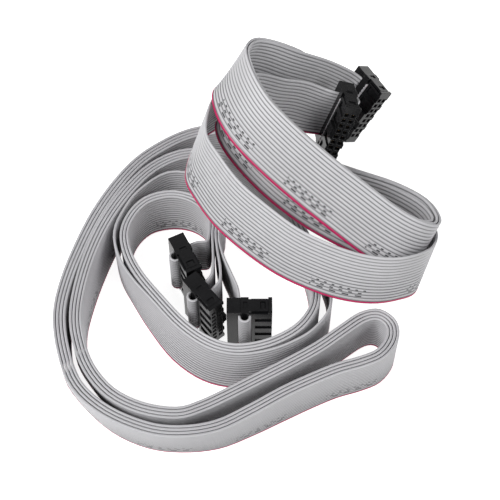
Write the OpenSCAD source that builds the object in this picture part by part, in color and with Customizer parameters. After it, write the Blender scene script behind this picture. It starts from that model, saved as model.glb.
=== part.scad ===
// A sixteen way flat ribbon cable with five two-row sockets pressed on to it.
// Two lengths of ribbon are wound up together and laid down: a leaning coil on top of
// a long hairpin and a round loop that stand on edge. One length joins two of the sockets.
// The other joins the remaining three, and turns back in a bend behind the coil.
// X runs to the right, Y to the back and Z up; the pile lies on the plane Z = 0.

/* [Ribbon] */
// Number of wires side by side
ways = 16; // [10:2:16]
// Spacing of the wires across the ribbon
wire_pitch = 1.27; // [1.2:0.01:1.27]
// Thickness of the ribbon over one wire
ribbon_t = 0.9; // [0.7:0.05:0.95]
// Spacing of the four runs of ribbon where they lie together
run_pitch = 1.15; // [1.1:0.05:1.3]

/* [Socket] */
// Spacing of the pin holes
pin_pitch = 2.54; // [2.3:0.02:2.54]
// Width of the socket through which the ribbon passes
socket_t = 6; // [5.6:0.1:6.4]
// Height of the socket from the ribbon to the face with the pin holes
body_h = 7; // [6.4:0.1:8]
// Length of the end wall outside the ribbon at each end
end_wall = 2.2; // [2:0.1:2.6]
// Side of a square pin hole
hole_w = 1.1; // [0.9:0.05:1.2]
// Depth of a pin hole
hole_depth = 5.6; // [4:0.1:5.8]
// Width of the polarizing key on the broad side
key_w = 4.2; // [3:0.1:5]
// Height of the polarizing key above the broad side
key_h = 1; // [0.6:0.1:1.4]
// Depth of the grooves moulded into the broad side
groove_depth = 0.5; // [0.3:0.05:0.7]
// Width of one groove
groove_w = 3; // [2:0.1:3.6]

/* [Cover and strain relief] */
// Thickness of the cover that presses the ribbon on to the contacts
cover_h = 2.7; // [2.4:0.1:3.2]
// Length of the cover leg that grips the end of the socket
leg_h = 5.6; // [4.8:0.1:5.9]
// Thickness of the cover leg
leg_t = 1; // [0.8:0.05:1.2]
// Height of the strain relief over the folded ribbon
relief_h = 3.8; // [3.2:0.1:4.4]
// Width of the strain relief
relief_t = 5.8; // [5:0.1:6]

/* [Contact] */
// Thickness of the sheet that the contacts are stamped from
sheet_t = 0.2; // [0.15:0.01:0.24]
// Width of a contact spring
spring_w = 0.7; // [0.5:0.05:0.8]
// Length of a contact spring
spring_l = 4.4; // [3:0.1:4.8]

/* [Clearances] */
// Gap between the ribbon's edge and the legs beside it
edge_gap = 0.24; // [0.15:0.01:0.3]
// Gap between a contact and the wall of its hole
contact_gap = 0.1; // [0.05:0.01:0.15]
// Gap between a cover leg and the recess that it lies in
leg_gap = 0.1; // [0.05:0.01:0.2]

/* [Hidden] */

ribbon_w = ways * wire_pitch;
columns = ways / 2;
rows = 2;
// The ribbon stands on edge, so its middle is just over half its width above the floor.
floor_z = ribbon_w / 2 + 0.05;
inner_half = ribbon_w / 2 + edge_gap;
socket_half = inner_half + end_wall;
// A lower socket stands on its end and lifts the ribbon over the last stations before it.
socket_rise = socket_half - floor_z;
rise_steps = 6;
// Places along a socket, counted from the middle of the pressed ribbon.
slot = ribbon_t / 2;
mating_face = slot + body_h;
cover_top = -slot - cover_h;
relief_seat = cover_top - ribbon_t;
fold_r = (cover_h + ribbon_t) / 2;
hole_floor = mating_face - hole_depth;
// Small features of the mouldings: the slots for the contacts' prongs, the teeth that the
// cover's legs snap over, the legs' width and the pocket on the cover's end.
prong_slot_w = 0.7;
tooth_w = 2.4;
tooth_h = 0.7;
cover_leg_w = 4.6;
pocket_w = 2.4;
pocket_depth = 0.4;
// Where the catch on a leg begins and how long it is, as shares of the leg.
catch_from = 0.56;
catch_length = 0.26;
// How far the ends of the strain relief stay back from those of the cover.
relief_inset = 0.2;
// Run a lies outside run b in the coil, a little freer than the runs on the floor.
outer_shift = 0.6 * run_pitch;
// Rings of the swept ribbon in each stretch between two stations.
ring_steps = 2;
fold_steps = 6;
tiny = 0.02;
// Middle of the pile in plan, which becomes the origin.
PILE_MIDDLE = [-0.88, 1.97, 0];

// Each socket: the middle of its pressed ribbon, the way it faces and the way its ribbon leaves.
LEFT = [[-22.2, -6.9, 12.6], [0.442, -0.897, 0], [0.897, 0.442, 0]];
MIDDLE = [[-15.8, -21.9, 12.6], [0.62, -0.785, 0], [0.785, 0.62, 0]];
RIGHT = [[0, -27.1, 12.6], [1, 0, 0], [0, 1, 0]];
UPPER = [[31.5, 47.3, 25.8], [0.108, -0.962, 0.252], [-0.935, -0.012, 0.354]];
OUTER = [[40.2, 64.7, 12.4], [0.529, -0.849, -0.009], [-0.681, -0.431, 0.592]];

// Stations of the ribbon, chosen by hand: its middle, then the direction across it.
// Run b's way from the outer socket to the coil.
START_B = [
    [31.6, 66.4, 19.2, 0.5, 0.32, 0.81],
    [22.6, 61.8, 31, 0.49, 0.36, 0.8],
];
// The bend behind the coil in which run a turns back into run d, and the way out of it.
TURN = [[23, 67.2, 17.8], [0.42, -0.9, 0.16], [0.47, 0.36, 0.81]];
TURN_A = [
    [23.7, 64.8, 18.5, 0.47, 0.36, 0.81],
    [22.2, 63.2, 20.3, 0.47, 0.36, 0.81],
    [16.3, 60.1, 32, 0.48, 0.4, 0.78],
];
TURN_D = [
    [21.5, 68.9, 18, 0.47, 0.36, 0.81],
    [19.2, 69, 18.4, 0.46, 0.38, 0.8],
    [11.5, 66.8, 20, 0.45, 0.4, 0.8],
    [4, 61.5, 24.5, 0.42, 0.45, 0.79],
    [-4, 55, 29, 0.4, 0.5, 0.77],
    [-10.5, 47, 34.5, 0.37, 0.52, 0.77],
    [-15, 38.5, 40, 0.35, 0.5, 0.79],
    [-17.6, 28.5, 44, 0.34, 0.46, 0.82],
];
// The coil, from its upper end round to the floor; runs a and b share it.
COIL_AB = [
    [12, 56.3, 42.6, 0.5, 0.44, 0.75],
    [3, 53.8, 50.8, 0.52, 0.43, 0.74],
    [-3, 51, 55, 0.54, 0.43, 0.72],
    [-6, 45, 58, 0.55, 0.44, 0.71],
    [-5, 36.5, 58, 0.55, 0.45, 0.7],
    [0, 27, 56, 0.55, 0.46, 0.7],
    [9, 17.5, 53, 0.54, 0.47, 0.7],
    [20.5, 8, 49, 0.53, 0.47, 0.71],
    [32.5, -0.7, 45, 0.52, 0.48, 0.71],
    [43, -7.6, 41, 0.5, 0.5, 0.71],
    [51, -11.1, 38, 0.45, 0.52, 0.73],
    [57.4, -9.8, 33, 0.42, 0.53, 0.74],
    [59.6, -3.8, 28, 0.42, 0.53, 0.74],
    [56.7, 5.6, 23.5, 0.42, 0.53, 0.74],
    [48.5, 14.2, 19.5, 0.38, 0.48, 0.79],
    [36.8, 22.1, 16, 0.28, 0.36, 0.89],
    [25.5, 29.8, 13.5, 0.16, 0.22, 0.96],
    [14.8, 37.7, 11.5, 0.08, 0.1, 0.99],
    [5, 44.5, 10.4, 0, 0.03, 1],
];
COIL_C = [
    [22.5, 50.3, 28.6, 0.35, 0.34, 0.87],
    [15.5, 48.9, 33.8, 0.38, 0.42, 0.82],
    [8.4, 46.5, 38.4, 0.44, 0.46, 0.77],
    [0.7, 44.1, 44.6, 0.49, 0.47, 0.73],
    [-4.2, 40.7, 49.5, 0.53, 0.47, 0.7],
    [-5.3, 35.5, 51.9, 0.54, 0.46, 0.7],
    [-3.6, 28.1, 50.9, 0.55, 0.46, 0.7],
    [2.3, 19.8, 48.8, 0.55, 0.46, 0.7],
    [11, 11.6, 45.4, 0.54, 0.47, 0.7],
    [21.5, 4.1, 41.8, 0.53, 0.47, 0.71],
    [32.7, -2.4, 39.9, 0.52, 0.48, 0.71],
    [43.1, -6.8, 37.2, 0.5, 0.5, 0.71],
    [50, -9.1, 35.4, 0.45, 0.52, 0.73],
    [56, -7.9, 32, 0.42, 0.53, 0.74],
    [57.5, -3.3, 28, 0.42, 0.53, 0.74],
    [54.5, 4.1, 24, 0.42, 0.53, 0.74],
    [46, 12.5, 20.5, 0.38, 0.48, 0.79],
    [35, 20.2, 17, 0.28, 0.36, 0.89],
    [24.3, 28, 14, 0.16, 0.22, 0.96],
    [13.8, 35.5, 12, 0.08, 0.1, 0.99],
    [4.2, 42, 10.5, 0, 0.03, 1],
];
COIL_D = [
    [-18, 18, 46, 0.34, 0.44, 0.83],
    [-14, 9.5, 46, 0.34, 0.42, 0.84],
    [-7.5, 0.5, 44.5, 0.34, 0.41, 0.85],
    [2, -8, 42.5, 0.34, 0.41, 0.85],
    [12.5, -15.5, 40.5, 0.33, 0.38, 0.87],
    [24, -20.5, 38.5, 0.31, 0.37, 0.88],
    [34.5, -23, 36.5, 0.28, 0.36, 0.89],
    [44.5, -23, 34.5, 0.25, 0.35, 0.9],
    [53, -19.8, 31.5, 0.24, 0.37, 0.9],
    [58.9, -14, 26.4, 0.27, 0.45, 0.85],
    [60.9, -5, 20.5, 0.29, 0.5, 0.81],
    [57, 4.8, 15.6, 0.31, 0.5, 0.81],
    [47.6, 14.3, 12.3, 0.3, 0.45, 0.84],
    [37.2, 22.9, 10.9, 0.2, 0.3, 0.93],
    [26.9, 31.5, 10.4, 0.1, 0.15, 0.98],
    [16.1, 39.6, 10.3, 0.04, 0.06, 1],
    [6, 46.6, 10.2, 0, 0, 1],
];
// The stretch on the floor that all four runs share: middle of the four in plan, how far the
// ribbon leans, as the direction across it, and how far the last run bows out from the others.
FLOOR = [
    [-6, 48, 0, 0, 0],
    [-14, 48, 0, 0, 0],
    [-22.5, 46, 0, 0, 0],
    [-31.5, 41, 0, 0, 0],
    [-40, 34, 0, 0, 0],
    [-47.5, 24, 0, 0, 0],
    [-54, 12, 0, 0, 0],
    [-59, -1, 0, 0, 0],
    [-63, -15, 0, 0, 0],
    [-64.5, -28, 0, 0, 0],
    [-62, -42, 0, 0, 0],
    [-56, -53, -0.1, -0.1, 0],
    [-46, -62, -0.1, -0.1, 0],
    [-34, -67.5, 0, -0.13, 0],
    [-23, -69, 0, -0.13, 0],
    [-11, -67.5, 0, -0.1, 0],
    [0, -62.5, 0, -0.05, 0],
    [11, -56.5, 0, 0, 0],
    [20, -52, 0, 0, 0],
    [29, -48, 0, 0, 0],
    [37, -45.5, 0, 0, 0],
    [43.5, -42.5, 0, 0, 0],
    [47.5, -37, 0, 0, 0],
    [47.5, -31.5, 0, 0, 0],
    [43.5, -28, 0, 0, 0],
    [38, -29, 0, 0, 0],
    [31, -34, 0, 0, 0],
    [23, -40, 0, 0, 0],
    [13, -46, 0, 0, 0],
    [3, -51.5, 0, 0, 0],
    [-7, -56.5, 0, -0.05, 0],
    [-16, -60.5, 0, -0.1, 0],
    [-24, -62.5, 0, -0.13, 0],
    [-35, -61, -0.05, -0.1, 0],
    [-45, -55.5, -0.1, -0.1, 0],
    [-52.5, -47, -0.1, -0.05, 0],
    [-57.5, -37, 0, 0, 0],
    [-59, -27, 0, 0, 0],
    [-57.5, -15, -0.04, 0, 0],
    [-54.2, -2, -0.06, 0.02, 0],
    [-49.5, 10.5, -0.05, 0.02, 0],
    [-43, 22, -0.02, 0.02, 0],
    [-35, 31.5, 0, 0, 0],
    [-25, 37, 0, 0, 0],
    [-14, 37.5, 0, 0, 0],
    [-4, 34, 0, 0, 0],
    [4.5, 27.5, 0, 0, 0],
    [11.5, 19, 0, 0, 0],
    [17, 7, 0, 0, 0],
    [21, -5, 0, 0, 1],
    [23, -15.5, 0, 0, 2.5],
    [22.5, -24, 0, 0, 3],
    [19, -31.5, -0.05, 0.03, 1.8],
    [13, -37, -0.05, 0.1, 0.8],
    [4.5, -41, 0, 0.16, 0.3],
    [-5, -42.5, 0, 0.18, 0],
    [-14.5, -40, 0.08, 0.18, 0],
    [-24, -33, 0.12, 0.15, 0],
    [-32.5, -22.5, 0.1, 0.08, 0],
    [-39, -12.5, 0.03, 0, 0.5],
    [-43, -4, 0, 0, 1],
    [-44.5, 4.5, 0, 0, 1.2],
    [-42, 12, 0, 0.03, 1.2],
    [-36.5, 17.5, 0, 0.06, 3],
    [-28.5, 19.5, 0, 0.08, 7],
    [-21, 18, 0, 0.05, 7],
    [-15, 13.5, 0, 0, 4.5],
    [-12.5, 8, 0, 0, 1.5],
    [-12.5, 2, 0, 0, 0],
];
// The last stretch of each run, in plan, from the floor route to its lower socket.
LEAD_A = [[-12.8, -4], [-12.7, -9.2], [-13.2, -13.8]];
LEAD_B = [[-11.2, -4.5], [-10.2, -10.8], [-10.4, -16.2]];
LEAD_C = [[-9.5, -5.5], [-6.8, -12.5], [-4.3, -18.8]];
LEAD_D = [[-15, -0.6], [-18.2, -1]];

function unit(v) = v / norm(v);
function xyz(s) = [s[0], s[1], s[2]];
function last(list) = list[len(list) - 1];

// Right-hand side of the way the floor route runs, at station i.
function floor_side(i) =
    let (a = FLOOR[max(i - 1, 0)], b = FLOOR[min(i + 1, len(FLOOR) - 1)], d = [b[0] - a[0], b[1] - a[1]])
    [d[1], -d[0], 0] / norm(d);
// Stations of run k on the floor: the four runs lie side by side, the first on the right.
function floor_run(k) = [
    for (i = [0:len(FLOOR) - 1])
        let (
            s = FLOOR[i],
            across = unit([s[2], s[3], 1]),
            shift = (2.5 - k) * run_pitch - (k == 4 ? s[4] : 0),
            foot = ribbon_t / 2 * norm([across[0], across[1]]),
            rise = max(0, i + 1 + rise_steps - len(FLOOR)) / rise_steps * socket_rise,
            p = [s[0], s[1], floor_z * across[2] + foot + rise] + shift * floor_side(i)
        )
        concat(p, across)
];
// Stations of a coil, moved outwards by shift.
function coil_side(coil, i) =
    let (a = xyz(coil[max(i - 1, 0)]), b = xyz(coil[min(i + 1, len(coil) - 1)]), s = coil[i])
    unit(cross(b - a, [s[3], s[4], s[5]]));
function coil_run(coil, shift) = [
    for (i = [0:len(coil) - 1])
        concat(xyz(coil[i]) + shift * coil_side(coil, i), unit([coil[i][3], coil[i][4], coil[i][5]]))
];
turn_across = unit(TURN[2]);
turn_way = unit(TURN[1] - (TURN[1] * turn_across) * turn_across);
function lead_run(lead) = [
    for (i = [0:len(lead) - 1])
        [lead[i][0], lead[i][1], floor_z + socket_rise, 0, 0, 1]
];

// Axes of a socket: the way it faces, the way its ribbon leaves and its long axis.
function face_axis(s) = unit(s[1]);
function leave_axis(s) = unit(s[2] - (s[2] * face_axis(s)) * face_axis(s));
function long_axis(s) = cross(face_axis(s), leave_axis(s));
function socket_point(s, m, t) = s[0] + m * face_axis(s) + t * leave_axis(s);
// The ribbon across it, on the side of the socket's long axis that up says.
function socket_station(s, up, m, t) = concat(socket_point(s, m, t), up * long_axis(s));
// The straight ribbon in the slot, from the leaving side to the fold, or only from its middle.
function slot_run(s, up, start) = [
    socket_station(s, up, 0, start),
    socket_station(s, up, 0, -socket_t / 4),
    socket_station(s, up, 0, -socket_t / 2),
];
// The fold round the cover and the ribbon that lies on it, out to the leaving side.
function fold_run(s, up) = concat(
    [
        for (i = [1:fold_steps - 1])
            let (a = 180 * i / fold_steps)
            socket_station(s, up, -fold_r + fold_r * cos(a), -socket_t / 2 - fold_r * sin(a))
    ],
    [
        socket_station(s, up, -2 * fold_r, -socket_t / 2),
        socket_station(s, up, -2 * fold_r, 0),
        socket_station(s, up, -2 * fold_r, socket_t / 2 + 0.3),
    ]
);
// The ribbon that goes straight from the middle of the slot out to the leaving side.
function straight_run(s, up) = [
    socket_station(s, up, 0, 0),
    socket_station(s, up, 0, socket_t / 2 + 0.3),
];
function reversed(list) = [for (i = [len(list) - 1:-1:0]) list[i]];

// One point of a smooth curve through four neighbouring stations.
function between(a, b, c, d, u) =
    0.5 * (2 * b + (c - a) * u + (2 * a - 5 * b + 4 * c - d) * u * u + (3 * b - a - 3 * c + d) * u * u * u);
function smooth(list) = concat(
    [
        for (i = [0:len(list) - 2], k = [0:ring_steps - 1])
            between(
                list[max(i - 1, 0)], list[i], list[i + 1], list[min(i + 2, len(list) - 1)],
                k / ring_steps
            )
    ],
    [last(list)]
);
// A flat strip swept along its stations, four corners to a ring.
module strip(list) {
    count = len(list);
    corners = [
        for (i = [0:count - 1])
            let (
                p = xyz(list[i]),
                run = unit(xyz(list[min(i + 1, count - 1)]) - xyz(list[max(i - 1, 0)])),
                lean = [list[i][3], list[i][4], list[i][5]],
                across = unit(lean - (lean * run) * run),
                side = cross(run, across)
            )
            for (c = [[1, 1], [-1, 1], [-1, -1], [1, -1]])
                p - PILE_MIDDLE + c[0] * ribbon_w / 2 * across + c[1] * ribbon_t / 2 * side
    ];
    sides = [
        for (i = [0:count - 2], j = [0:3])
            let (a = 4 * i + j, b = 4 * i + (j + 1) % 4)
            for (f = [[a, b + 4, b], [a, a + 4, b + 4]]) f
    ];
    n = 4 * count;
    polyhedron(corners, concat(sides, [[0, 1, 2, 3], [n - 1, n - 2, n - 3, n - 4]]));
}

// The four runs of ribbon. Runs a and d meet in the bend, and runs a and b in the middle socket.
module ribbon_a() {
    color("silver") strip(concat(
        [turn_run(1)[0]],
        smooth(concat(
            [turn_run(1)[1]], coil_run(concat(TURN_A, COIL_AB), outer_shift), floor_run(2), lead_run(LEAD_A),
            [last(fold_run(MIDDLE, 1))]
        )),
        into_fold(MIDDLE, 0)
    ));
}
module ribbon_b() {
    color("silver") strip(concat(
        out_of_fold(OUTER, socket_t / 2),
        smooth(concat(
            [last(fold_run(OUTER, -1))],
            coil_run(concat(START_B, COIL_AB), -run_pitch / 2), floor_run(3), lead_run(LEAD_B),
            [last(straight_run(MIDDLE, 1))]
        )),
        [socket_station(MIDDLE, 1, 0, 0)]
    ));
}
module ribbon_c() {
    color("silver") strip(concat(
        out_of_fold(UPPER, socket_t / 2),
        smooth(concat(
            [last(fold_run(UPPER, -1))],
            coil_run(COIL_C, 0), floor_run(4), lead_run(LEAD_C),
            [last(fold_run(RIGHT, 1))]
        )),
        into_fold(RIGHT, socket_t / 2)
    ));
}
module ribbon_d() {
    color("silver") strip(concat(
        [turn_run(-1)[0]],
        smooth(concat(
            [turn_run(-1)[1]], coil_run(concat(TURN_D, COIL_D), 0), floor_run(1), lead_run(LEAD_D),
            [last(fold_run(LEFT, 1))]
        )),
        into_fold(LEFT, socket_t / 2)
    ));
}
// Start of a run in the middle of the bend; way is 1 one way and -1 the other.
function turn_run(way) = [
    for (step = [0, 0.6])
        concat(TURN[0] + way * step * turn_way, turn_across)
];
// Slot and fold of an upper socket, from where the ribbon ends up to the fold's last but one.
function out_of_fold(s, end) =
    let (f = fold_run(s, -1))
    concat(slot_run(s, -1, end), [for (i = [0:len(f) - 2]) f[i]]);
// Fold and slot of a lower socket after the fold's first station, to where the ribbon ends.
function into_fold(s, end) =
    let (f = fold_run(s, 1))
    concat(reversed([for (i = [0:len(f) - 2]) f[i]]), reversed(slot_run(s, 1, end)));

// Sets a socket's own axes: X the way it faces, Y the way the ribbon leaves, Z its length.
module placed(s) {
    x = face_axis(s);
    y = leave_axis(s);
    z = long_axis(s);
    multmatrix([
        [x[0], y[0], z[0], s[0][0] - PILE_MIDDLE[0]],
        [x[1], y[1], z[1], s[0][1] - PILE_MIDDLE[1]],
        [x[2], y[2], z[2], s[0][2] - PILE_MIDDLE[2]],
        [0, 0, 0, 1],
    ]) children();
}
// A block between two corners.
module block(low, high) {
    translate(low) cube(high - low);
}
// Middle of the pin hole in column i and row j.
function hole_y(j) = (j - (rows - 1) / 2) * pin_pitch;
function hole_z(i) = (i - (columns - 1) / 2) * pin_pitch;

// Moulded socket: pin holes, key, grooved broad sides and a recess at each end for the cover's legs.
module socket() {
    half_t = socket_t / 2;
    leg_in = socket_half - leg_t - leg_gap;
    difference() {
        union() {
            block([slot, -half_t, -socket_half], [mating_face, half_t, socket_half]);
            block([slot + body_h * 0.3, half_t - tiny, -key_w / 2], [mating_face, half_t + key_h, key_w / 2]);
        }
        for (i = [0:columns - 1], j = [0:rows - 1])
            translate([hole_floor, hole_y(j) - hole_w / 2, hole_z(i) - hole_w / 2])
                cube([hole_depth + 1, hole_w, hole_w]);
        // Slots for the prongs of the contacts.
        for (i = [0:columns - 1], j = [0:rows - 1])
            translate([slot - 1, hole_y(j) - prong_slot_w / 2, hole_z(i) - prong_slot_w / 2])
                cube([hole_floor - slot + 1.5, prong_slot_w, prong_slot_w]);
        // Grooves across the side that the ribbon folds over.
        for (i = [-1.5:1:1.5])
            translate([slot + 1.2, -half_t - 1, i * 2 * pin_pitch - groove_w / 2])
                cube([body_h, groove_depth + 1, groove_w]);
        for (e = [-1, 1], i = [0.5, 1.5])
            translate([slot + 1.2, half_t - groove_depth, e * (i + 0.35) * 2 * pin_pitch - groove_w / 2])
                cube([body_h, groove_depth + 1, groove_w]);
        // Recesses for the legs of the cover, with a tooth left standing in each.
        for (e = [-1, 1])
            difference() {
                translate([slot - 1, -half_t - 1, e > 0 ? leg_in : -socket_half - 1])
                    cube([leg_h + leg_gap + 1, socket_t + 2, leg_t + leg_gap + 1]);
                translate([slot + leg_h * catch_from, -tooth_w / 2, e > 0 ? leg_in - 1 : -leg_in - tooth_h])
                    cube([leg_h * catch_length, tooth_w, tooth_h + 1]);
            }
    }
}
// Stamped contacts, one in each hole: two springs, a base and a prong up to the ribbon.
module contacts() {
    color("goldenrod")
    for (i = [0:columns - 1], j = [0:rows - 1])
        translate([hole_floor, hole_y(j), hole_z(i)]) {
            base = hole_w / 2 - contact_gap;
            block([0, -base, -base], [sheet_t, base, base]);
            for (e = [-1, 1])
                block(
                    [sheet_t - tiny, e > 0 ? base - sheet_t : -base, -spring_w / 2],
                    [spring_l, e > 0 ? base : sheet_t - base, spring_w / 2]
                );
            block(
                [slot - hole_floor, -sheet_t / 2, -prong_slot_w / 2 + contact_gap],
                [tiny, sheet_t / 2, prong_slot_w / 2 - contact_gap]
            );
        }
}

// Cover that presses the ribbon on to the contacts, with a windowed leg down each end.
module cover() {
    half_t = socket_t / 2;
    color("#2b2b2d") difference() {
        union() {
            block([cover_top, -half_t, -socket_half], [-slot, half_t, socket_half]);
            for (e = [-1, 1])
                block(
                    [-slot - tiny, -cover_leg_w / 2, e > 0 ? inner_half : -socket_half],
                    [slot, cover_leg_w / 2, e > 0 ? socket_half : -inner_half]
                );
            for (e = [-1, 1])
                block(
                    [slot - tiny, -cover_leg_w / 2, e > 0 ? socket_half - leg_t : -socket_half],
                    [slot + leg_h, cover_leg_w / 2, e > 0 ? socket_half : leg_t - socket_half]
                );
        }
        // Windows that snap over the teeth of the socket.
        for (e = [-1, 1])
            translate([slot + leg_h * catch_from - leg_gap, -tooth_w / 2 - leg_gap, e * socket_half - leg_t * 1.5])
                cube([leg_h * catch_length + 2 * leg_gap, tooth_w + 2 * leg_gap, 3 * leg_t]);
        // Shallow pocket on the end of the cover.
        for (e = [-1, 1])
            translate([cover_top + 0.8, -pocket_w / 2, e * socket_half - pocket_depth])
                cube([1.4, pocket_w, 2 * pocket_depth]);
    }
}
// Strain relief: a bar over the folded ribbon with a short foot at each end on the cover.
module strain_relief() {
    relief_top = relief_seat - relief_h;
    relief_half = socket_half - relief_inset;
    color("#303032") union() {
        block([relief_top, -relief_t / 2, -relief_half], [relief_seat, relief_t / 2, relief_half]);
        for (e = [-1, 1])
            block(
                [relief_seat - tiny, -relief_t / 2, e > 0 ? inner_half : -relief_half],
                [cover_top, relief_t / 2, e > 0 ? relief_half : -inner_half]
            );
    }
}

module left_socket() { color("#262628") placed(LEFT) socket(); }
module left_contacts() { placed(LEFT) contacts(); }
module left_cover() { placed(LEFT) cover(); }
module left_strain_relief() { placed(LEFT) strain_relief(); }
module middle_socket() { color("#262628") placed(MIDDLE) socket(); }
module middle_contacts() { placed(MIDDLE) contacts(); }
module middle_cover() { placed(MIDDLE) cover(); }
module middle_strain_relief() { placed(MIDDLE) strain_relief(); }
module right_socket() { color("#262628") placed(RIGHT) socket(); }
module right_contacts() { placed(RIGHT) contacts(); }
module right_cover() { placed(RIGHT) cover(); }
module right_strain_relief() { placed(RIGHT) strain_relief(); }
module upper_socket() { color("#262628") placed(UPPER) socket(); }
module upper_contacts() { placed(UPPER) contacts(); }
module upper_cover() { placed(UPPER) cover(); }
module upper_strain_relief() { placed(UPPER) strain_relief(); }
module outer_socket() { color("#262628") placed(OUTER) socket(); }
module outer_contacts() { placed(OUTER) contacts(); }
module outer_cover() { placed(OUTER) cover(); }
module outer_strain_relief() { placed(OUTER) strain_relief(); }

ribbon_a();
ribbon_b();
ribbon_c();
ribbon_d();
left_socket();
left_contacts();
left_cover();
left_strain_relief();
middle_socket();
middle_contacts();
middle_cover();
middle_strain_relief();
right_socket();
right_contacts();
right_cover();
right_strain_relief();
upper_socket();
upper_contacts();
upper_cover();
upper_strain_relief();
outer_socket();
outer_contacts();
outer_cover();
outer_strain_relief();
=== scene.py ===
import math

import bmesh
import bpy
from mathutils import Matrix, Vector


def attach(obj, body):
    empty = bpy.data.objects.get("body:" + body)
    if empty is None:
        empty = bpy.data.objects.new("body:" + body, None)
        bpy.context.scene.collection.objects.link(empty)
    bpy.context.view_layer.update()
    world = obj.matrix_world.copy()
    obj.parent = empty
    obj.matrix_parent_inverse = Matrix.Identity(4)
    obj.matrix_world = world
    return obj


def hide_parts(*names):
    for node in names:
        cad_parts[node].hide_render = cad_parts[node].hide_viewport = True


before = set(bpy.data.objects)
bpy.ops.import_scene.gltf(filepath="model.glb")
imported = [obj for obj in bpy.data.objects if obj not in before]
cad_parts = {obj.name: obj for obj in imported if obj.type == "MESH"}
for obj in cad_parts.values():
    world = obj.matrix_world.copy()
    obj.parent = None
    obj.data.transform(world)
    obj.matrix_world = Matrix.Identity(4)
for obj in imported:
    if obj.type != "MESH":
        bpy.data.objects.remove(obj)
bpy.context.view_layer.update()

# The camera looks down on the pile from the front, at sixty degrees above the floor,
# with the long lens of a catalogue picture.
EYE = Vector((0.00088, -0.24197, 0.4307))
camera_data = bpy.data.cameras.new("camera")
camera_data.sensor_width = 36
camera_data.lens = 98.5
camera = bpy.data.objects.new("camera", camera_data)
camera.location = EYE
camera.rotation_euler = (math.radians(30), 0, 0)
bpy.context.collection.objects.link(camera)
bpy.context.scene.camera = camera
bpy.context.scene.view_settings.view_transform = "Standard"


# Each socket is moulded in black glass-filled polyester, with a cover and a strain relief
# snapped over the ribbon. The finish is satin, with a fine grain from the mould, and the
# edges are a little round; the rims of the pin holes are chamfered to guide the pins in.
KITS = ["left", "middle", "right", "upper", "outer"]
MOULDINGS = ["socket", "cover", "strain_relief"]
EDGE_ROUND = 0.0001
# Width of the chamfer around a pin hole, how deep it goes, and the side of the hole.
RIM_CHAMFER = 0.0003
LEAD_IN = 0.0007
HOLE_W = 0.0011
# How near two measures are called the same, and two corners are merged.
NEAR = 0.00001
MERGE_DIST = 0.000005


class Shade:
    """A socket of a material's nodes; sums and products of sockets add their Math nodes."""

    def __init__(self, tree, socket):
        self.tree, self.socket = tree, socket

    def node(self, kind, settings=None, inputs=None, output=0):
        made = self.tree.nodes.new("ShaderNode" + kind)
        for name, value in (settings or {}).items():
            setattr(made, name, value)
        for name, value in (inputs or {}).items():
            if isinstance(value, Shade):
                self.tree.links.new(value.socket, made.inputs[name])
            else:
                made.inputs[name].default_value = value
        return Shade(self.tree, made.outputs[output])

    def other(self, output):
        """Another output of the node that this socket belongs to."""
        return Shade(self.tree, self.socket.node.outputs[output])

    def math(self, operation, *values):
        return self.node("Math", {"operation": operation}, dict(enumerate(values)))

    def __add__(self, other):
        return self.math("ADD", self, other)

    __radd__ = __add__

    def __mul__(self, other):
        return self.math("MULTIPLY", self, other)

    __rmul__ = __mul__

    def __sub__(self, other):
        return self.math("SUBTRACT", self, other)

    def __rsub__(self, other):
        return self.math("SUBTRACT", other, self)

    def __gt__(self, other):
        return self.math("GREATER_THAN", self, other)

    def __lt__(self, other):
        return self.math("LESS_THAN", self, other)

    def wrap(self, span):
        return self.math("FLOORED_MODULO", self, span)

    def mix(self, a, b):
        """Colour a where this value is 0 and b where it is 1."""
        return self.node("Mix", {"data_type": "RGBA"}, {0: self, 6: a, 7: b}, 2)


def new_finish(name):
    """A new material, a place to start its expressions from, and its shader."""
    material = bpy.data.materials.new(name)
    material.use_nodes = True
    tree = material.node_tree
    shader = tree.nodes["Principled BSDF"]
    return material, Shade(tree, None), shader


def plug_in(start, shader, values):
    """Sets or links the shader's sockets."""
    for name, value in values.items():
        if isinstance(value, Shade):
            start.tree.links.new(value.socket, shader.inputs[name])
        else:
            shader.inputs[name].default_value = value


BLACK = (0.004, 0.004, 0.0045, 1)
SOFT_BLACK = (0.008, 0.008, 0.009, 1)
moulded, start, shader = new_finish("moulded_black")
spot = start.node("TexCoord", output=3)
cloud = start.node("TexNoise", inputs={"Vector": spot, "Scale": 300, "Detail": 3})
grain = start.node("TexNoise", inputs={"Vector": spot, "Scale": 2500, "Detail": 2})
bump = start.node("Bump", inputs={"Strength": 0.15, "Distance": 0.0001, "Height": grain})
satin = {"Roughness": cloud * 0.14 + 0.16, "Specular IOR Level": 0.32, "Normal": bump}
plug_in(start, shader, {"Base Color": cloud.mix(BLACK, SOFT_BLACK), **satin})


def outward_edges(bm, least_degrees):
    least = math.radians(least_degrees)
    return [e for e in bm.edges if e.is_manifold and e.calc_face_angle_signed() > least]


def ease(bm, edges, width, segments):
    """Bevels the edges with a round profile."""
    return bmesh.ops.bevel(
        bm,
        geom=edges,
        offset=width,
        offset_type="OFFSET",
        affect="EDGES",
        segments=segments,
        profile=0.5,
        material=-1,
        clamp_overlap=True,
    )


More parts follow.
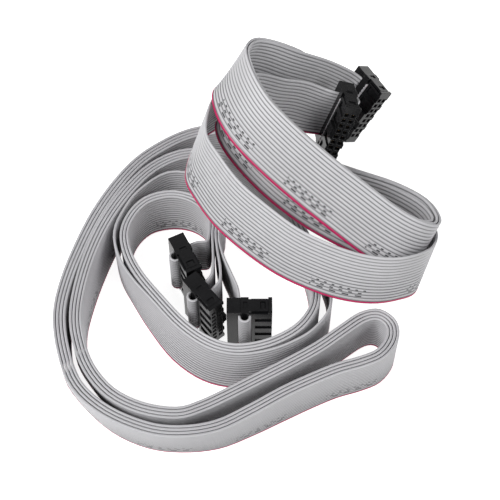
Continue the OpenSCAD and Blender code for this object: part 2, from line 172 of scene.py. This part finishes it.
def moulding(name):
    """A copy of a moulding's solid with its edges eased, in the solid's place."""
    bm = bmesh.new()
    bm.from_mesh(bpy.data.objects[name].data)
    bmesh.ops.remove_doubles(bm, verts=bm.verts, dist=MERGE_DIST)
    bmesh.ops.dissolve_limit(bm, angle_limit=math.radians(1), verts=bm.verts, edges=bm.edges)
    outward = outward_edges(bm, 30)
    if name.endswith("socket"):
        rims = [e for e in outward if abs(e.calc_length() - HOLE_W) < NEAR]
        faces = (f for e in rims for f in e.link_faces)
        mating = max(faces, key=lambda f: sum(e in rims for e in f.edges))
        normal, level = mating.normal.copy(), mating.verts[0].co.dot(mating.normal)
        rims = [e for e in rims if all(abs(v.co.dot(normal) - level) < NEAR for v in e.verts)]
        # The chamfers' inner corners are pushed down the holes, which makes each a funnel.
        corners = ease(bm, rims, RIM_CHAMFER, 1)["verts"]
        low = [v for v in corners if v.co.dot(normal) - level < -RIM_CHAMFER / 2]
        bmesh.ops.translate(bm, verts=low, vec=-(LEAD_IN - RIM_CHAMFER) * normal)
        outward = outward_edges(bm, 60)
    ease(bm, outward, EDGE_ROUND, 2)
    mesh = bpy.data.meshes.new(name + "_moulding")
    bm.to_mesh(mesh)
    bm.free()
    piece = bpy.data.objects.new(name + "_moulding", mesh)
    bpy.context.collection.objects.link(piece)
    return piece


for kit in KITS:
    for part in MOULDINGS:
        piece = moulding(kit + "_" + part)
        piece.data.materials.append(moulded)
        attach(piece, "root")
        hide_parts(kit + "_" + part)


# The contacts are stamped from phosphor bronze sheet and plated. One stands in each pin
# hole, with two springs that grip the pin.
PLATED = (0.72, 0.5, 0.22, 1)
WORN = (0.6, 0.44, 0.24, 1)
plated, start, shader = new_finish("plated_bronze")
spot = start.node("TexCoord", output=3)
cloud = start.node("TexNoise", inputs={"Vector": spot, "Scale": 800, "Detail": 2})
polish = {"Roughness": cloud * 0.15 + 0.25, "Metallic": 1.0}
plug_in(start, shader, {"Base Color": cloud.mix(PLATED, WORN), **polish})
for kit in KITS:
    node = bpy.data.objects[kit + "_contacts"]
    node.data.materials.clear()
    node.data.materials.append(plated)


# The ribbon is sixteen stranded wires side by side in one grey vinyl strip, with the first
# wire's insulation printed red. It is folded at each socket and lies in four runs on edge.
WAYS = 16
WIRE_PITCH = 0.00127
RIBBON_W = WAYS * WIRE_PITCH
RIBBON_T = 0.0009
WEB_T = 0.00042
# Thickness on a wire's shoulder, halfway down to the web, and at the ribbon's two edges.
SHOULDER_T = 0.00078
SIDE_T = 0.00024
# Margin beside each side of the ribbon in the map of its surface.
MAP_EDGE = 0.01
# The step from run to run where four lie together.
RUN_PITCH = 0.00115
OUTER_SHIFT = 0.6 * RUN_PITCH
# Width of a socket, the height at which it holds the ribbon's middle, how far the ribbon
# comes out of it before it bends, and the radius of the fold over its cover.
SOCKET_T = 0.006
SOCKET_Z = 0.0126
WAY_OUT = 0.0003
FOLD_R = 0.0018
FOLD_STEPS = 12
# The ribbon's middle where it stands on the floor, and the stations over which it then rises
# to the sockets.
FLOOR_GAP = 0.00005
FLOOR_Z = RIBBON_W / 2 + FLOOR_GAP
SOCKET_RISE = SOCKET_Z - FLOOR_Z
RISE_STEPS = 6
# Straight length each way from the middle of the bend behind the coil.
TURN_STRAIGHT = 0.0006
RING_STEPS = 4
# Route stations, the same as the solids': a middle and the direction across the ribbon.
START_B = [
    (0.0316, 0.0664, 0.0192, 0.5, 0.32, 0.81),
    (0.0226, 0.0618, 0.031, 0.49, 0.36, 0.8),
]
TURN_A = [
    (0.0237, 0.0648, 0.0185, 0.47, 0.36, 0.81),
    (0.0222, 0.0632, 0.0203, 0.47, 0.36, 0.81),
    (0.0163, 0.0601, 0.032, 0.48, 0.4, 0.78),
]
TURN_D = [
    (0.0215, 0.0689, 0.018, 0.47, 0.36, 0.81),
    (0.0192, 0.069, 0.0184, 0.46, 0.38, 0.8),
    (0.0115, 0.0668, 0.02, 0.45, 0.4, 0.8),
    (0.004, 0.0615, 0.0245, 0.42, 0.45, 0.79),
    (-0.004, 0.055, 0.029, 0.4, 0.5, 0.77),
    (-0.0105, 0.047, 0.0345, 0.37, 0.52, 0.77),
    (-0.015, 0.0385, 0.04, 0.35, 0.5, 0.79),
    (-0.0176, 0.0285, 0.044, 0.34, 0.46, 0.82),
]
COIL_AB = [
    (0.012, 0.0563, 0.0426, 0.5, 0.44, 0.75),
    (0.003, 0.0538, 0.0508, 0.52, 0.43, 0.74),
    (-0.003, 0.051, 0.055, 0.54, 0.43, 0.72),
    (-0.006, 0.045, 0.058, 0.55, 0.44, 0.71),
    (-0.005, 0.0365, 0.058, 0.55, 0.45, 0.7),
    (0, 0.027, 0.056, 0.55, 0.46, 0.7),
    (0.009, 0.0175, 0.053, 0.54, 0.47, 0.7),
    (0.0205, 0.008, 0.049, 0.53, 0.47, 0.71),
    (0.0325, -0.0007, 0.045, 0.52, 0.48, 0.71),
    (0.043, -0.0076, 0.041, 0.5, 0.5, 0.71),
    (0.051, -0.0111, 0.038, 0.45, 0.52, 0.73),
    (0.0574, -0.0098, 0.033, 0.42, 0.53, 0.74),
    (0.0596, -0.0038, 0.028, 0.42, 0.53, 0.74),
    (0.0567, 0.0056, 0.0235, 0.42, 0.53, 0.74),
    (0.0485, 0.0142, 0.0195, 0.38, 0.48, 0.79),
    (0.0368, 0.0221, 0.016, 0.28, 0.36, 0.89),
    (0.0255, 0.0298, 0.0135, 0.16, 0.22, 0.96),
    (0.0148, 0.0377, 0.0115, 0.08, 0.1, 0.99),
    (0.005, 0.0445, 0.0104, 0, 0.03, 1),
]
COIL_C = [
    (0.0225, 0.0503, 0.0286, 0.35, 0.34, 0.87),
    (0.0155, 0.0489, 0.0338, 0.38, 0.42, 0.82),
    (0.0084, 0.0465, 0.0384, 0.44, 0.46, 0.77),
    (0.0007, 0.0441, 0.0446, 0.49, 0.47, 0.73),
    (-0.0042, 0.0407, 0.0495, 0.53, 0.47, 0.7),
    (-0.0053, 0.0355, 0.0519, 0.54, 0.46, 0.7),
    (-0.0036, 0.0281, 0.0509, 0.55, 0.46, 0.7),
    (0.0023, 0.0198, 0.0488, 0.55, 0.46, 0.7),
    (0.011, 0.0116, 0.0454, 0.54, 0.47, 0.7),
    (0.0215, 0.0041, 0.0418, 0.53, 0.47, 0.71),
    (0.0327, -0.0024, 0.0399, 0.52, 0.48, 0.71),
    (0.0431, -0.0068, 0.0372, 0.5, 0.5, 0.71),
    (0.05, -0.0091, 0.0354, 0.45, 0.52, 0.73),
    (0.056, -0.0079, 0.032, 0.42, 0.53, 0.74),
    (0.0575, -0.0033, 0.028, 0.42, 0.53, 0.74),
    (0.0545, 0.0041, 0.024, 0.42, 0.53, 0.74),
    (0.046, 0.0125, 0.0205, 0.38, 0.48, 0.79),
    (0.035, 0.0202, 0.017, 0.28, 0.36, 0.89),
    (0.0243, 0.028, 0.014, 0.16, 0.22, 0.96),
    (0.0138, 0.0355, 0.012, 0.08, 0.1, 0.99),
    (0.0042, 0.042, 0.0105, 0, 0.03, 1),
]
COIL_D = [
    (-0.018, 0.018, 0.046, 0.34, 0.44, 0.83),
    (-0.014, 0.0095, 0.046, 0.34, 0.42, 0.84),
    (-0.0075, 0.0005, 0.0445, 0.34, 0.41, 0.85),
    (0.002, -0.008, 0.0425, 0.34, 0.41, 0.85),
    (0.0125, -0.0155, 0.0405, 0.33, 0.38, 0.87),
    (0.024, -0.0205, 0.0385, 0.31, 0.37, 0.88),
    (0.0345, -0.023, 0.0365, 0.28, 0.36, 0.89),
    (0.0445, -0.023, 0.0345, 0.25, 0.35, 0.9),
    (0.053, -0.0198, 0.0315, 0.24, 0.37, 0.9),
    (0.0589, -0.014, 0.0264, 0.27, 0.45, 0.85),
    (0.0609, -0.005, 0.0205, 0.29, 0.5, 0.81),
    (0.057, 0.0048, 0.0156, 0.31, 0.5, 0.81),
    (0.0476, 0.0143, 0.0123, 0.3, 0.45, 0.84),
    (0.0372, 0.0229, 0.0109, 0.2, 0.3, 0.93),
    (0.0269, 0.0315, 0.0104, 0.1, 0.15, 0.98),
    (0.0161, 0.0396, 0.0103, 0.04, 0.06, 1),
    (0.006, 0.0466, 0.0102, 0, 0, 1),
]
# On the floor: the middle's x and y, the lean, and how far the outermost run bows out.
FLOOR = [
    (-0.006, 0.048, 0, 0, 0),
    (-0.014, 0.048, 0, 0, 0),
    (-0.0225, 0.046, 0, 0, 0),
    (-0.0315, 0.041, 0, 0, 0),
    (-0.04, 0.034, 0, 0, 0),
    (-0.0475, 0.024, 0, 0, 0),
    (-0.054, 0.012, 0, 0, 0),
    (-0.059, -0.001, 0, 0, 0),
    (-0.063, -0.015, 0, 0, 0),
    (-0.0645, -0.028, 0, 0, 0),
    (-0.062, -0.042, 0, 0, 0),
    (-0.056, -0.053, -0.1, -0.1, 0),
    (-0.046, -0.062, -0.1, -0.1, 0),
    (-0.034, -0.0675, 0, -0.13, 0),
    (-0.023, -0.069, 0, -0.13, 0),
    (-0.011, -0.0675, 0, -0.1, 0),
    (0, -0.0625, 0, -0.05, 0),
    (0.011, -0.0565, 0, 0, 0),
    (0.02, -0.052, 0, 0, 0),
    (0.029, -0.048, 0, 0, 0),
    (0.037, -0.0455, 0, 0, 0),
    (0.0435, -0.0425, 0, 0, 0),
    (0.0475, -0.037, 0, 0, 0),
    (0.0475, -0.0315, 0, 0, 0),
    (0.0435, -0.028, 0, 0, 0),
    (0.038, -0.029, 0, 0, 0),
    (0.031, -0.034, 0, 0, 0),
    (0.023, -0.04, 0, 0, 0),
    (0.013, -0.046, 0, 0, 0),
    (0.003, -0.0515, 0, 0, 0),
    (-0.007, -0.0565, 0, -0.05, 0),
    (-0.016, -0.0605, 0, -0.1, 0),
    (-0.024, -0.0625, 0, -0.13, 0),
    (-0.035, -0.061, -0.05, -0.1, 0),
    (-0.045, -0.0555, -0.1, -0.1, 0),
    (-0.0525, -0.047, -0.1, -0.05, 0),
    (-0.0575, -0.037, 0, 0, 0),
    (-0.059, -0.027, 0, 0, 0),
    (-0.0575, -0.015, -0.04, 0, 0),
    (-0.0542, -0.002, -0.06, 0.02, 0),
    (-0.0495, 0.0105, -0.05, 0.02, 0),
    (-0.043, 0.022, -0.02, 0.02, 0),
    (-0.035, 0.0315, 0, 0, 0),
    (-0.025, 0.037, 0, 0, 0),
    (-0.014, 0.0375, 0, 0, 0),
    (-0.004, 0.034, 0, 0, 0),
    (0.0045, 0.0275, 0, 0, 0),
    (0.0115, 0.019, 0, 0, 0),
    (0.017, 0.007, 0, 0, 0),
    (0.021, -0.005, 0, 0, 0.001),
    (0.023, -0.0155, 0, 0, 0.0025),
    (0.0225, -0.024, 0, 0, 0.003),
    (0.019, -0.0315, -0.05, 0.03, 0.0018),
    (0.013, -0.037, -0.05, 0.1, 0.0008),
    (0.0045, -0.041, 0, 0.16, 0.0003),
    (-0.005, -0.0425, 0, 0.18, 0),
    (-0.0145, -0.04, 0.08, 0.18, 0),
    (-0.024, -0.033, 0.12, 0.15, 0),
    (-0.0325, -0.0225, 0.1, 0.08, 0),
    (-0.039, -0.0125, 0.03, 0, 0.0005),
    (-0.043, -0.004, 0, 0, 0.001),
    (-0.0445, 0.0045, 0, 0, 0.0012),
    (-0.042, 0.012, 0, 0.03, 0.0012),
    (-0.0365, 0.0175, 0, 0.06, 0.003),
    (-0.0285, 0.0195, 0, 0.08, 0.007),
    (-0.021, 0.018, 0, 0.05, 0.007),
    (-0.015, 0.0135, 0, 0, 0.0045),
    (-0.0125, 0.008, 0, 0, 0.0015),
    (-0.0125, 0.002, 0, 0, 0),
]
LEAD_A = [(-0.0128, -0.004), (-0.0127, -0.0092), (-0.0132, -0.0138)]
LEAD_B = [(-0.0112, -0.0045), (-0.0102, -0.0108), (-0.0104, -0.0162)]
LEAD_C = [(-0.0095, -0.0055), (-0.0068, -0.0125), (-0.0043, -0.0188)]
LEAD_D = [(-0.015, -0.0006), (-0.0182, -0.001)]
# The bend behind the coil: its middle, the way the ribbon runs there, and across it. Each
# socket: the ribbon's middle in it, the way its pin holes face, and the way the ribbon leaves.
TURN = [(0.023, 0.0672, 0.0178), (0.42, -0.9, 0.16), (0.47, 0.36, 0.81)]
LEFT = [(-0.0222, -0.0069, 0.0126), (0.442, -0.897, 0), (0.897, 0.442, 0)]
MIDDLE = [(-0.0158, -0.0219, 0.0126), (0.62, -0.785, 0), (0.785, 0.62, 0)]
RIGHT = [(0, -0.0271, 0.0126), (1, 0, 0), (0, 1, 0)]
UPPER = [(0.0315, 0.0473, 0.0258), (0.108, -0.962, 0.252), (-0.935, -0.012, 0.354)]
OUTER = [(0.0402, 0.0647, 0.0124), (0.529, -0.849, -0.009), (-0.681, -0.431, 0.592)]
PILE_MIDDLE = Vector((-0.00088, 0.00197, 0))
# Place of each run across the four that lie together, from the right as they go.
LAYERS = {"d": 1, "a": 2, "b": 3, "c": 4}
LOWER_ENDS = {
    "a": (MIDDLE, LEAD_A),
    "b": (MIDDLE, LEAD_B),
    "c": (RIGHT, LEAD_C),
    "d": (LEFT, LEAD_D),
}


def part_of(station):
    """A station's middle and its direction across the ribbon."""
    return Vector(station[:3]), Vector(station[3:])


def floor_side(i):
    """The level direction to the right of the way, at one station on the floor."""
    before, after = FLOOR[max(i - 1, 0)], FLOOR[min(i + 1, len(FLOOR) - 1)]
    return Vector((after[1] - before[1], before[0] - after[0], 0)).normalized()


def floor_run(layer):
    """One run's stations on the floor, the last of them up to the sockets' height."""
    run = []
    for i, (x, y, lean_x, lean_y, bow) in enumerate(FLOOR):
        across = Vector((lean_x, lean_y, 1)).normalized()
        foot = RIBBON_T / 2 * across.xy.length
        rise = max(0, i + 1 + RISE_STEPS - len(FLOOR)) / RISE_STEPS * SOCKET_RISE
        shift = (2.5 - layer) * RUN_PITCH - (bow if layer == 4 else 0)
        middle = Vector((x, y, FLOOR_Z * across.z + foot + rise))
        run.append((middle + shift * floor_side(i), across))
    return run


def coil_run(coil, shift):
    """One run's stations in the coil, moved sideways from those in its table."""
    run = []
    for i, station in enumerate(coil):
        before, after = (part_of(coil[k])[0] for k in (max(i - 1, 0), min(i + 1, len(coil) - 1)))
        middle, across = part_of(station)
        side = (after - before).cross(across).normalized()
        run.append((middle + shift * side, across.normalized()))
    return run


def lead_run(lead):
    return [(Vector((x, y, FLOOR_Z + SOCKET_RISE)), Vector((0, 0, 1))) for x, y in lead]


def turn_run(way):
    """The straight start of a run in the middle of the bend, one way or the other."""
    middle, leave, lean = (Vector(v) for v in TURN)
    across = lean.normalized()
    leave = (leave - leave.dot(across) * across).normalized()
    return [(middle + way * step * leave, across) for step in (0, TURN_STRAIGHT)]


def socket_axes(socket):
    middle, face, leave = (Vector(v) for v in socket)
    face.normalize()
    leave = (leave - leave.dot(face) * face).normalized()
    return middle, face, leave, face.cross(leave)


def socket_station(socket, up, m, t):
    """A station m towards the pin holes' face and t along the way out of the socket."""
    middle, face, leave, along = socket_axes(socket)
    return middle + m * face + t * leave, up * along


def slot_run(socket, up, start):
    """Back through the slot between the body and the cover."""
    return [socket_station(socket, up, 0, t) for t in (start, -SOCKET_T / 4, -SOCKET_T / 2)]


def fold_run(socket, up):
    """Round the cover's edge, over the cover and out under the strain relief."""
    turn = [math.pi * i / FOLD_STEPS for i in range(1, FOLD_STEPS)]
    bend = [(FOLD_R * math.cos(a) - FOLD_R, -SOCKET_T / 2 - FOLD_R * math.sin(a)) for a in turn]
    through = [(-2 * FOLD_R, t) for t in (-SOCKET_T / 2, 0, SOCKET_T / 2 + WAY_OUT)]
    return [socket_station(socket, up, m, t) for m, t in bend + through]


def between(a, b, c, d, u):
    """A smooth curve through b and c, which a and d steer, at the share u of the way."""
    squared, cubed = 2 * a - 5 * b + 4 * c - d, 3 * b - a - 3 * c + d
    return 0.5 * (2 * b + (c - a) * u + squared * u**2 + cubed * u**3)


def smooth(run):
    """A run with more stations between those given."""
    rings = []
    for i in range(len(run) - 1):
        four = [run[max(i - 1, 0)], run[i], run[i + 1], run[min(i + 2, len(run) - 1)]]
        for k in range(RING_STEPS):
            share = k / RING_STEPS
            rings.append(tuple(between(*[s[part] for s in four], share) for part in (0, 1)))
    return rings + [run[-1]]


def into_fold(socket, start):
    """The way into a lower socket: under its strain relief, over its cover and in."""
    return fold_run(socket, 1)[-2::-1] + slot_run(socket, 1, start)[::-1]


def route(letter):
    """Stations of one run, from its upper end to its lower socket."""
    if letter == "a":
        start = turn_run(1)
        coil = coil_run(TURN_A + COIL_AB, OUTER_SHIFT)
    elif letter == "b":
        start = slot_run(OUTER, -1, SOCKET_T / 2) + fold_run(OUTER, -1)
        coil = coil_run(START_B + COIL_AB, -RUN_PITCH / 2)
    elif letter == "c":
        start = slot_run(UPPER, -1, SOCKET_T / 2) + fold_run(UPPER, -1)
        coil = coil_run(COIL_C, 0)
    else:
        start = turn_run(-1)
        coil = coil_run(TURN_D + COIL_D, 0)
    lower, lead = LOWER_ENDS[letter]
    if letter == "b":
        entry = socket_station(lower, 1, 0, SOCKET_T / 2 + WAY_OUT)
        end = [socket_station(lower, 1, 0, 0)]
    else:
        entry = fold_run(lower, 1)[-1]
        end = into_fold(lower, 0 if letter == "a" else SOCKET_T / 2)
    free = [start[-1]] + coil + floor_run(LAYERS[letter]) + lead_run(lead) + [entry]
    return start[:-1] + smooth(free) + end


def section():
    """Half the ribbon's thickness at places across it: round over each wire and thin between."""
    rise = [WEB_T / 2, SHOULDER_T / 2, RIBBON_T / 2, SHOULDER_T / 2]
    places = []
    for column in range(4 * WAYS + 1):
        across = column * WIRE_PITCH / 4 - RIBBON_W / 2
        side = column in (0, 4 * WAYS)
        places.append((across, SIDE_T / 2 if side else rise[column % 4]))
    return places


def ribbon(letter):
    """Sweeps the ridged section along a run, from a grid whose two long sides are merged."""
    stations = route(letter)
    count = len(stations)
    half = section()
    loop = half + [(w, -t) for w, t in reversed(half)] + [half[0]]
    bm = bmesh.new()
    bmesh.ops.create_grid(bm, x_segments=count - 1, y_segments=len(loop) - 1, size=1)
    uv = bm.loops.layers.uv.new("strip")
    most = (count - 1, len(loop) - 1)
    spots = {v: tuple(round((v.co[k] + 1) / 2 * most[k]) for k in (0, 1)) for v in bm.verts}
    along = [0]
    for a, b in zip(stations, stations[1:]):
        along.append(along[-1] + (b[0] - a[0]).length)
    frames = []
    for i, (middle, lean) in enumerate(stations):
        run = (stations[min(i + 1, count - 1)][0] - stations[max(i - 1, 0)][0]).normalized()
        across = (lean - lean.dot(run) * run).normalized()
        frames.append((middle - PILE_MIDDLE, across, run.cross(across)))
    # The map has metres along the ribbon one way, and its front and back side by side the other.
    for face in bm.faces:
        columns = [spots[corner.vert][1] for corner in face.loops]
        back = min(columns) >= len(half)
        for corner in face.loops:
            i, j = spots[corner.vert]
            across = loop[j][0] / RIBBON_W + 0.5
            corner[uv].uv = (along[i], (1 - 2 * MAP_EDGE) * across + MAP_EDGE + (1 if back else 0))
    for vert, (i, j) in spots.items():
        middle, across, side = frames[i]
        w, t = loop[j]
        vert.co = middle + w * across + t * side
    bmesh.ops.remove_doubles(bm, verts=bm.verts, dist=MERGE_DIST)
    bmesh.ops.holes_fill(bm, edges=[e for e in bm.edges if e.is_boundary], sides=0)
    bmesh.ops.recalc_face_normals(bm, faces=bm.faces)
    for face in bm.faces:
        face.smooth = True
    mesh = bpy.data.meshes.new("strip_" + letter)
    bm.to_mesh(mesh)
    bm.free()
    piece = bpy.data.objects.new("strip_" + letter, mesh)
    bpy.context.collection.objects.link(piece)
    return piece, [f[0] for f in frames], along[-1]


GREY = (0.58, 0.575, 0.595, 1)
PALE_GREY = (0.66, 0.655, 0.675, 1)
# Colour of the painted shade in the valleys between the wires.
VALLEY_SHADE = (0.04, 0.04, 0.044, 1)
RED = (0.6, 0.012, 0.12, 1)
INK = (0.03, 0.03, 0.035, 1)
# In wires across the ribbon: the width of the red print, and of a dash.
RED_PRINT = 0.92
DASH_W = 0.45
# Each row of dashes: its place across, the step from dash to dash, and a dash's length. The
# rows are broken into groups.
DASH_ROWS = [(2.3, 0.0042, 0.0021), (3.25, 0.0031, 0.0012), (4.2, 0.0026, 0.0009)]
GROUP_STEP = 0.034
GROUP_LENGTH = 0.019
vinyl, start, shader = new_finish("vinyl")
strip = start.node("UVMap", {"uv_map": "strip"})
along = start.node("SeparateXYZ", inputs={0: strip})
across = along.other(1)
outer = across < 1
wire = across.wrap(1) * WAYS
spot = start.node("TexCoord", output=3)
mottle = start.node("TexNoise", inputs={"Vector": spot, "Scale": 180, "Detail": 2})
grey = mottle.mix(GREY, PALE_GREY)
striped = (wire < RED_PRINT).mix(grey, RED)
# Painted shade darkens the valleys between the wires.
off_wire = wire.wrap(1) - 0.5
off_wire = off_wire.math("ABSOLUTE", off_wire) * 2
valley_shaded = off_wire.math("POWER", off_wire, 3.2).mix(striped, VALLEY_SHADE)
# Groups of plain dashes run along the outer face in three rows, near the red edge.
dashes = 0
for row, step, dash in DASH_ROWS:
    dashes = (wire > row) * (wire < row + DASH_W) * (along.wrap(step) < dash) + dashes
in_group = along.wrap(GROUP_STEP) < GROUP_LENGTH
colour = (dashes * in_group * outer * 0.95).mix(valley_shaded, INK)
grain = start.node("TexNoise", inputs={"Vector": spot, "Scale": 900, "Detail": 3})
bump = start.node("Bump", inputs={"Strength": 0.12, "Distance": 0.0001, "Height": grain})
plug_in(start, shader, {"Base Color": colour, "Roughness": mottle * 0.12 + 0.42, "Normal": bump})

HELD = {
    "a": ["middle"],
    "b": ["outer"],
    "c": ["upper", "right"],
    "d": ["left"],
}
for letter in LAYERS:
    piece, path, length = ribbon(letter)
    piece.data.materials.append(vinyl)
    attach(piece, "root")
    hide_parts("ribbon_" + letter)
    on_it = [kit + "_contacts" for kit in HELD[letter]]
    on_it += [kit + "_" + part + "_moulding" for kit in HELD[letter] for part in MOULDINGS]


# The pile lies on a plain white sheet under three soft lamps, the brightest from the upper
# left. The sheet looks white to the camera and in reflections, and still takes the shadows.
floor_bm = bmesh.new()
bmesh.ops.create_grid(floor_bm, x_segments=1, y_segments=1, size=3)
floor_mesh = bpy.data.meshes.new("sheet")
floor_bm.to_mesh(floor_mesh)
floor_bm.free()
sheet = bpy.data.objects.new("sheet", floor_mesh)
bpy.context.collection.objects.link(sheet)
white, start, shader = new_finish("white_sheet")
camera_ray = seen = start.node("LightPath")
for ray in ("Is Glossy Ray", "Is Transmission Ray"):
    seen = seen.math("MAXIMUM", seen, camera_ray.other(ray))
glow = {"Emission Color": seen.mix((0, 0, 0, 1), (0.9, 0.9, 0.9, 1)), "Emission Strength": 1.0}
matt = {"Roughness": 0.9, "Specular IOR Level": 0.0}
plug_in(start, shader, {"Base Color": (0.7, 0.7, 0.7, 1), **matt, **glow})
sheet.data.materials.append(white)

LAMPS = {
    "upper_left": ((-0.75, -0.35, 1.05), 0.5, 14.0),
    "right": ((0.9, -0.5, 0.8), 0.7, 5.5),
    "back": ((0.1, 0.9, 0.8), 0.8, 1.5),
}
for name, (place, size, power) in LAMPS.items():
    lamp = bpy.data.lights.new(name, "AREA")
    lamp.size = size
    lamp.energy = power
    holder = bpy.data.objects.new(name, lamp)
    holder.location = place
    holder.rotation_euler = (-Vector(place)).to_track_quat("-Z", "Y").to_euler()
    bpy.context.collection.objects.link(holder)
world = bpy.data.worlds.new("white_room")
bpy.context.scene.world = world
world.use_nodes = True
background = world.node_tree.nodes["Background"]
background.inputs["Color"].default_value = (1, 1, 1, 1)
background.inputs["Strength"].default_value = 0.2
